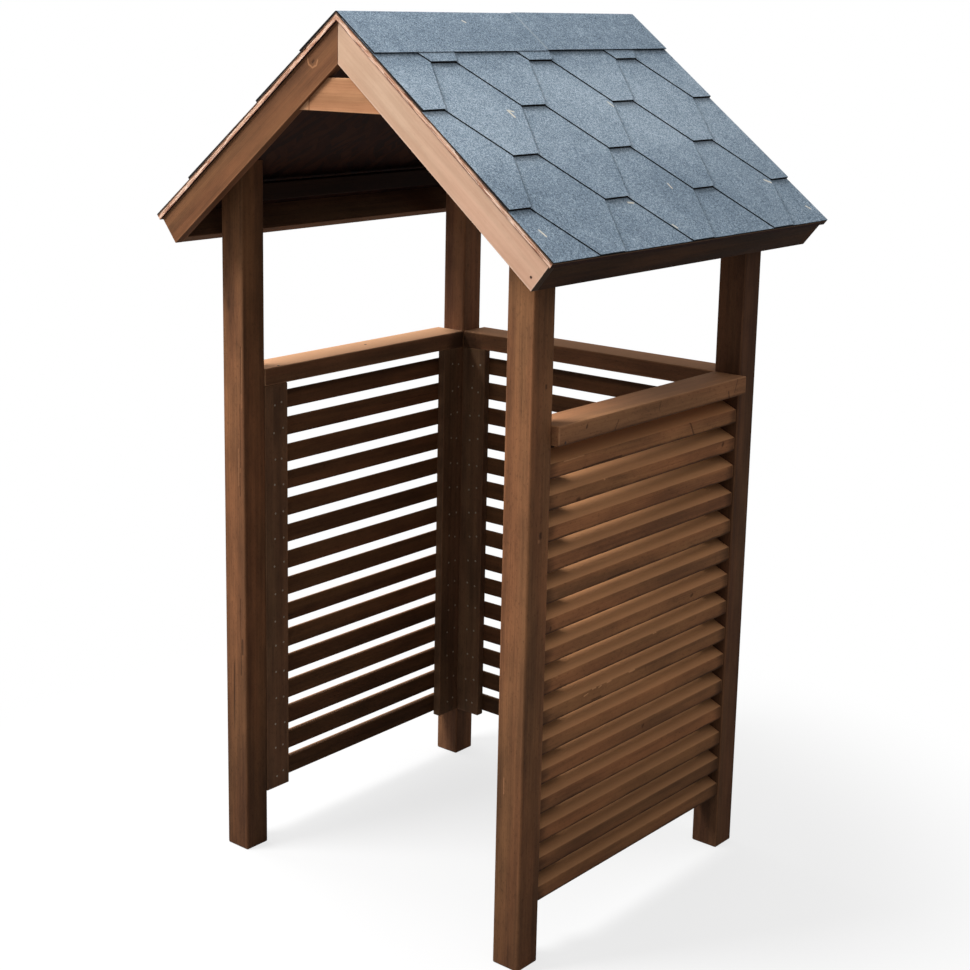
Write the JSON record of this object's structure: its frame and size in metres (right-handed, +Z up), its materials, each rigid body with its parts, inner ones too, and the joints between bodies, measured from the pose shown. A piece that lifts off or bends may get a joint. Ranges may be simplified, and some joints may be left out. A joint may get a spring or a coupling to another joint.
{
  "type": "bin shelter",
  "caption": "Timber bin shelter with square posts, louvred sides, cap rails, an open front and a gabled roof of hexagonal bitumen shingles.",
  "frame": {"origin": "on the ground under the middle of the plan, which is also the bottom centre of the object's box", "axes": "+Z up; the open front faces -Y, the louvred back +Y, and the ridge runs along Y"},
  "size_m": [1.1482, 1.062, 2.033],
  "materials": {
    "post_wood": "brown wood stain, satin, sawn grain showing",
    "rail_wood": "brown wood stain, lighter where weather has worn it",
    "stile_wood": "dark brown wood stain, matte",
    "slat_wood": "brown wood stain, satin, knots and short splits",
    "gable_wood": "thin reddish brown stain over planed softwood",
    "eave_wood": "dark brown wood stain, matte",
    "tie_wood": "orange tan wood stain on planed softwood",
    "strand_board": "raw strand board with its flakes showing on the edge",
    "shingle": "blue grey mineral granules on bitumen, rough"
  },
  "bodies": {
    "root": {"post_front_left": "post_wood", "post_front_right": "post_wood", "post_back_left": "post_wood", "post_back_right": "post_wood", "rail_left": "rail_wood", "rail_right": "rail_wood", "rail_back": "rail_wood", "stile_left_front": "stile_wood", "stile_left_back": "stile_wood", "stile_right_front": "stile_wood", "stile_right_back": "stile_wood", "stile_back_left": "stile_wood", "stile_back_right": "stile_wood", "slats_left": "slat_wood", "slats_right": "slat_wood", "slats_back": "slat_wood", "top_plate_left": "stile_wood", "top_plate_right": "stile_wood", "gable_front_left": "gable_wood", "gable_front_right": "gable_wood", "gable_back_left": "gable_wood", "gable_back_right": "gable_wood", "eave_board_left": "eave_wood", "eave_board_right": "eave_wood", "tie_front": "tie_wood", "tie_back_gable": "tie_wood", "deck_left": "strand_board", "deck_right": "strand_board", "starter_left": "shingle", "starter_right": "shingle", "course_left_1": "shingle", "course_left_2": "shingle", "course_left_3": "shingle", "course_left_4": "shingle", "course_left_5": "shingle", "course_right_1": "shingle", "course_right_2": "shingle", "course_right_3": "shingle", "course_right_4": "shingle", "course_right_5": "shingle", "ridge_cap": "shingle"}
  },
  "joints": []
}
